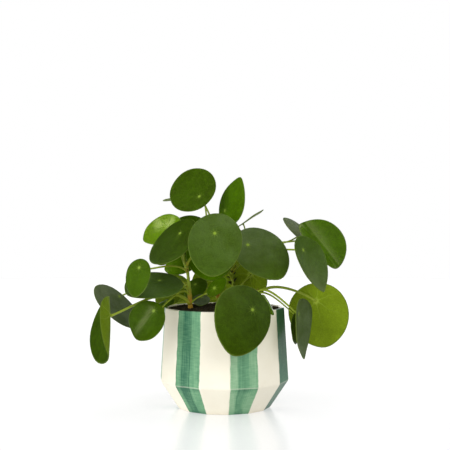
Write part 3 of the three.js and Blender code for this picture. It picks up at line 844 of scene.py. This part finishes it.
def addPetiole(bm, layer, leaf, draw):
    points = petiolePath(leaf)
    slim = leaf["thick"] * min(1, leaf["size"][0] / petiole["fullBlade"]) ** 0.5
    radii, tints = [], []
    for i in range(len(points)):
        t = i / petiole["steps"]
        foot = 1 + petiole["foot"] * (1 - smooth(0.0, petiole["footTo"], t))
        flare = 1 + petiole["flare"] * smooth(petiole["flareFrom"], 1.0, t)
        radii.append(slim * mixed(petiole["rootRadius"], petiole["endRadius"], t) * foot * flare)
        tints.append(petiole["woody"] * (1 - smooth(0.0, petiole["woodyTo"], t))
                     - petiole["fresh"] * smooth(petiole["freshFrom"], 1.0, t))
    sweep(bm, points, radii, petiole["sides"], layer, tints)
    outward = (points[2] - points[0]).normalized()
    lowHeight, lowSize = stemLook["lowStipules"]
    for turn in stemLook["stipuleTurns"]:
        leaning = outward.copy()
        leaning.rotate(Matrix.Rotation(math.radians(turn), 3, "Z"))
        size = draw.uniform(*stemLook["stipuleSize"]) * (lowSize if points[0].z < lowHeight else 1)
        aim = (leaning + Vector((0, 0, 1.1))).normalized()
        addStipule(bm, layer, points[0] + leaning * 1.2, aim, size)


def buildStem(name):
    stem = stems[name]
    draw = random.Random(name)
    bm = bmesh.new()
    layer = bm.verts.layers.float.new("woody")
    steps = stemLook["steps"]
    path = evenSteps(stemPath(stem), steps)
    radii, tints = [], []
    for i, point in enumerate(path):
        share = i / steps
        knot = stemLook["knots"] * math.cos(2 * math.pi * point.z / stemLook["knotSpacing"])
        knot += stemLook["rough"] * noise.noise(point / stemLook["roughSize"])
        radii.append(mixed(*stem["radius"], share) * (1 + knot * (1 - 0.4 * share)))
        tints.append(1.0 - 0.9 * smooth(*stemLook["barkTo"], point.z - soil["edge"]))
    radii[-1] *= 0.6
    sweep(bm, path, radii, stemLook["sides"], layer, tints)
    for row in leaves.values():
        if row["stem"] == name:
            addPetiole(bm, layer, {**leafDefaults, **row}, draw)
    for i in range(stemLook["tipScales"]):
        # the growing point, folded between its scales
        leaning = heading(360 / stemLook["tipScales"] * i, 62)
        addStipule(bm, layer, path[-1] - Vector((0, 0, 1)), leaning, draw.uniform(*stemLook["tipSize"]))
    # black scales on the upper stem, their colour painted shade in the tangle of stems
    for _ in range(stemLook["shadeScales"].get(name, 0)):
        leaning = heading(draw.uniform(0, 360), draw.uniform(-20, 60))
        place = path[int(draw.uniform(0.5, 0.97) * steps)]
        addStipule(bm, layer, place, leaning, draw.uniform(*stemLook["shadeScaleSize"]), shadeTint)
    bmesh.ops.recalc_face_normals(bm, faces=bm.faces)
    finishPiece(name + "_living", bm, [stemMaterial], [name])


def makeStemMaterial():
    material, tree, shader = newMaterial("stemAndPetioles", Roughness=0.42, Coat_Weight=0.05,
                                         Coat_Roughness=0.2, Specular_IOR_Level=0.35)
    woody = attribute(tree, "woody")
    patch = useGroup(tree, mottle, Size=5.0, Amount=0.7, Detail=3.0).outputs["Factor"]
    fine = useGroup(tree, mottle, Size=1.1, Amount=1.0, Detail=3.0).outputs["Factor"]
    grown = mixColour(tree, plus(tree, patch, plus(tree, fine, 0.35), clamp=True),
                      stemLook["petiole"], stemLook["petioleShade"])
    bark = mixColour(tree, plus(tree, times(tree, fine, 1.6), 0.35, clamp=True),
                     stemLook["bark"], stemLook["barkDark"])
    # green, then bark, stipules, and black for the scales whose colour is painted shade
    for mask, limits, colour in ((plus(tree, woody, patch), stemLook["woodyBark"], bark),
                                 (woody, stemLook["woodyStipule"], stemLook["stipule"]),
                                 (woody, stemLook["woodyShade"], stemLook["scaleShade"])):
        grown = mixColour(tree, ramp(tree, mask, 0.0, 1.0, *limits), grown, colour)
    tree.links.new(grown, shader.inputs["Base Color"])
    bump(tree, shader, plus(tree, patch, fine), strength=0.4, depth=0.6)
    return material


stemMaterial = makeStemMaterial()
for stemName in stems:
    buildStem(stemName)
print("stems done")


leafLook = dict(
    # the grey sheen painted on blades and the highlight painted along their rims; `sheen` tints the real
    # gloss
    paintedSheenAndPolish=(0.075, 0.10, 0.052), sheen=(0.9, 1.0, 0.12, 1), rim=(0.085, 0.125, 0.020), rimShare=0.7,
    # mottling of age, of the painted grey sheen, of shade and of gloss, and how high it stands out
    agePatches=0.5, paintedSheenClouds=1.5, shadeClouds=0.6, shadeSpecks=1.4, glossPatches=0.3,
    patchHeight=1.1, speckHeight=0.25,
    # colours by age, of hub and veins; how much the veins show and stand out; roughness when old and young
    upper=dict(
        old=(0.0174, 0.0395, 0.0003), young=(0.056, 0.130, 0.0008), fresh=(0.16, 0.26, 0.003),
        hub=(0.18, 0.27, 0.030), hubSize=1.0, vein=(0.055, 0.090, 0.010), veins=9.0, veinWidth=0.4,
        veinShare=0.25, veinHeight=-0.25, roughness=(0.47, 0.16)),
    under=dict(
        old=(0.097, 0.15, 0.006), young=(0.135, 0.20, 0.008),
        hub=(0.28, 0.37, 0.045), hubSize=1.8, vein=(0.22, 0.30, 0.035), veins=7.0, veinWidth=0.75,
        veinShare=0.6, veinHeight=0.8, roughness=(0.55, 0.48)),
)


def bladeFrame(leaf):
    # origin at the hub, Z out of the upper face, X towards the tip
    up = heading(*leaf["face"])
    tip = Vector((0, 0, -1)) + up * up.z
    tip.normalize()
    tip.rotate(Matrix.Rotation(math.radians(leaf["turn"]), 3, up))
    return Matrix.Translation(leaf["hub"]) @ Matrix((tip, up.cross(tip), up)).transposed().to_4x4()


def bladeDisc():
    # half of the blade's cross-section spun round: a disc with a rounded rim, its radius one unit
    half = blade["thickness"] / 2
    rings = [0, 0.03, 0.07, 0.13, 0.2, 0.29, 0.38, 0.47, 0.56, 0.65, 0.74, 0.82, 0.89, 0.94, 0.975]
    profile = [(r, half) for r in rings] + [(0.992, 0.6 * half), (1.0, 0), (0.992, -0.6 * half)]
    profile += [(r, -half) for r in reversed(rings)]
    return spinProfile(profile, blade["sectors"])


def buildLeaf(name, row, disc):
    leaf = {**leafDefaults, **row}
    length, width = leaf["size"]
    draw = random.Random(name)
    phases = [draw.uniform(0, 2 * math.pi) for _ in range(3)]  # of this blade's own waves and ribs
    bm = disc.copy()
    uv = bm.loops.layers.uv.new("bladeMap")
    rim = bm.verts.layers.float.new("rimShare")
    tone = bm.verts.layers.float.new("leafTone")
    paintedSheenAndPolish = bm.verts.layers.float.new("leafPaintedSheenAndPolish")
    mark = bm.verts.layers.float.new("leafMark")
    for face in bm.faces:
        # the under face has its own material; the rim's upper half counts as upper face
        face.material_index = 0 if face.calc_center_median().z > 0 else 1
    half = blade["thickness"] / 2
    for vert in bm.verts:
        away, turn = vert.co.xy.length, math.atan2(vert.co.y, vert.co.x)
        reach = 0.5 * (1 + leaf["point"] * (max(0, math.cos(turn)) ** blade["pointSharpness"] - 0.5))
        x = away * length * (0.5 - leaf["share"] + reach * math.cos(turn))
        y = away * width * (0.5 * math.sin(turn) * (1 - leaf["egg"] * math.cos(turn)) - leaf["aside"])
        wave = math.sin(2 * turn + phases[0]) + 0.5 * math.sin(5 * turn + phases[1])
        wave *= away ** 4 * blade["wave"]
        ribs = blade["ribHeight"] * math.cos(blade["ribs"] * turn + phases[2]) * away * (1 - away)
        vert[rim], vert[tone], vert[mark] = away, leaf["tone"], leaf["mark"]
        # a grey sheen painted into the colour, changing towards the tip by `fade`; below 0 it is polish
        # instead
        vert[paintedSheenAndPolish] = leaf["paintedSheenAndPolish"] * (1 - leaf["fade"] * x / length)
        vert.co = (x, y, bladeForm(leaf, x, y) + wave + ribs - half + vert.co.z)
    for face in bm.faces:
        for loop in face.loops:
            loop[uv].uv = (loop.vert.co.x / mapSpan + 0.5, loop.vert.co.y / mapSpan + 0.5)
    bmesh.ops.transform(bm, matrix=bladeFrame(leaf), verts=bm.verts)
    finishPiece(name + "_blade", bm, [leafUpper, leafUnder], [name])


def leafMaterial(name, look):
    material, tree, shader = newMaterial(
        name, Specular_IOR_Level=0.25, Specular_Tint=leafLook["sheen"], Coat_Roughness=0.2,
        Subsurface_Weight=0.10, Subsurface_Radius=(0.8, 1.0, 0.2), Subsurface_Scale=0.002)
    tone, paintedSheenAndPolish, mark = [attribute(tree, label) for label in ("leafTone", "leafPaintedSheenAndPolish", "leafMark")]
    cloud = useGroup(tree, mottle, Size=16.0, Amount=1.0, Detail=2.0).outputs["Factor"]
    patch = useGroup(tree, mottle, Size=5.0, Amount=1.0, Detail=3.0).outputs["Factor"]
    speck = useGroup(tree, mottle, Size=0.9, Amount=1.0, Detail=2.0).outputs["Factor"]
    drawn = useGroup(tree, veins, Count=look["veins"], Width=look["veinWidth"],
                     HubSize=look["hubSize"]).outputs
    age = plus(tree, tone, times(tree, patch, leafLook["agePatches"]))
    grown = mixColour(tree, plus(tree, age, 0.0, clamp=True), look["old"], look["young"])
    if "fresh" in look:
        # the upper face alone is light when fresh, and carries the grey sheen painted into its colour
        grown = mixColour(tree, calc(tree, "SUBTRACT", age, 1.0, clamp=True), grown, look["fresh"])
        uneven = plus(tree, times(tree, cloud, leafLook["paintedSheenClouds"]), 1.0)
        paintedSheenShare = times(tree, paintedSheenAndPolish, uneven, clamp=True)
        grown = mixColour(tree, paintedSheenShare, grown, leafLook["paintedSheenAndPolish"])
    shade = plus(tree, times(tree, cloud, leafLook["shadeClouds"]),
                 times(tree, speck, leafLook["shadeSpecks"]))
    grown = mixColour(tree, 1.0, grown, plus(tree, shade, 1.0), blend="MULTIPLY")
    # darker veins, the highlight painted along the rim, and the light hub
    for mask, share, colour in ((drawn["Lines"], look["veinShare"], look["vein"]),
                                (drawn["Rim"], leafLook["rimShare"], leafLook["rim"]),
                                (drawn["Hub"], mark, look["hub"])):
        grown = mixColour(tree, times(tree, mask, share), grown, colour)
    tree.links.new(grown, shader.inputs["Base Color"])
    # a polished blade has a clear coat, young ones shine more, and old ones dull in blotches
    tree.links.new(times(tree, paintedSheenAndPolish, -1.0, clamp=True), shader.inputs["Coat Weight"])
    gloss = plus(tree, ramp(tree, tone, *look["roughness"], 0.0, 1.3),
                 times(tree, patch, leafLook["glossPatches"]))
    tree.links.new(gloss, shader.inputs["Roughness"])
    raised = times(tree, drawn["Lines"], look["veinHeight"])
    uneven = plus(tree, times(tree, patch, leafLook["patchHeight"]),
                  times(tree, speck, leafLook["speckHeight"]))
    height = plus(tree, raised, uneven)
    bump(tree, shader, height, strength=0.5, depth=0.6)
    return material


leafUpper = leafMaterial("leafUpperFace", leafLook["upper"])
leafUnder = leafMaterial("leafUnderFace", leafLook["under"])
plainDisc = bladeDisc()
for leafName, leafRow in leaves.items():
    buildLeaf(leafName, leafRow, plainDisc)
plainDisc.free()
print("leaves done:", len(leaves))
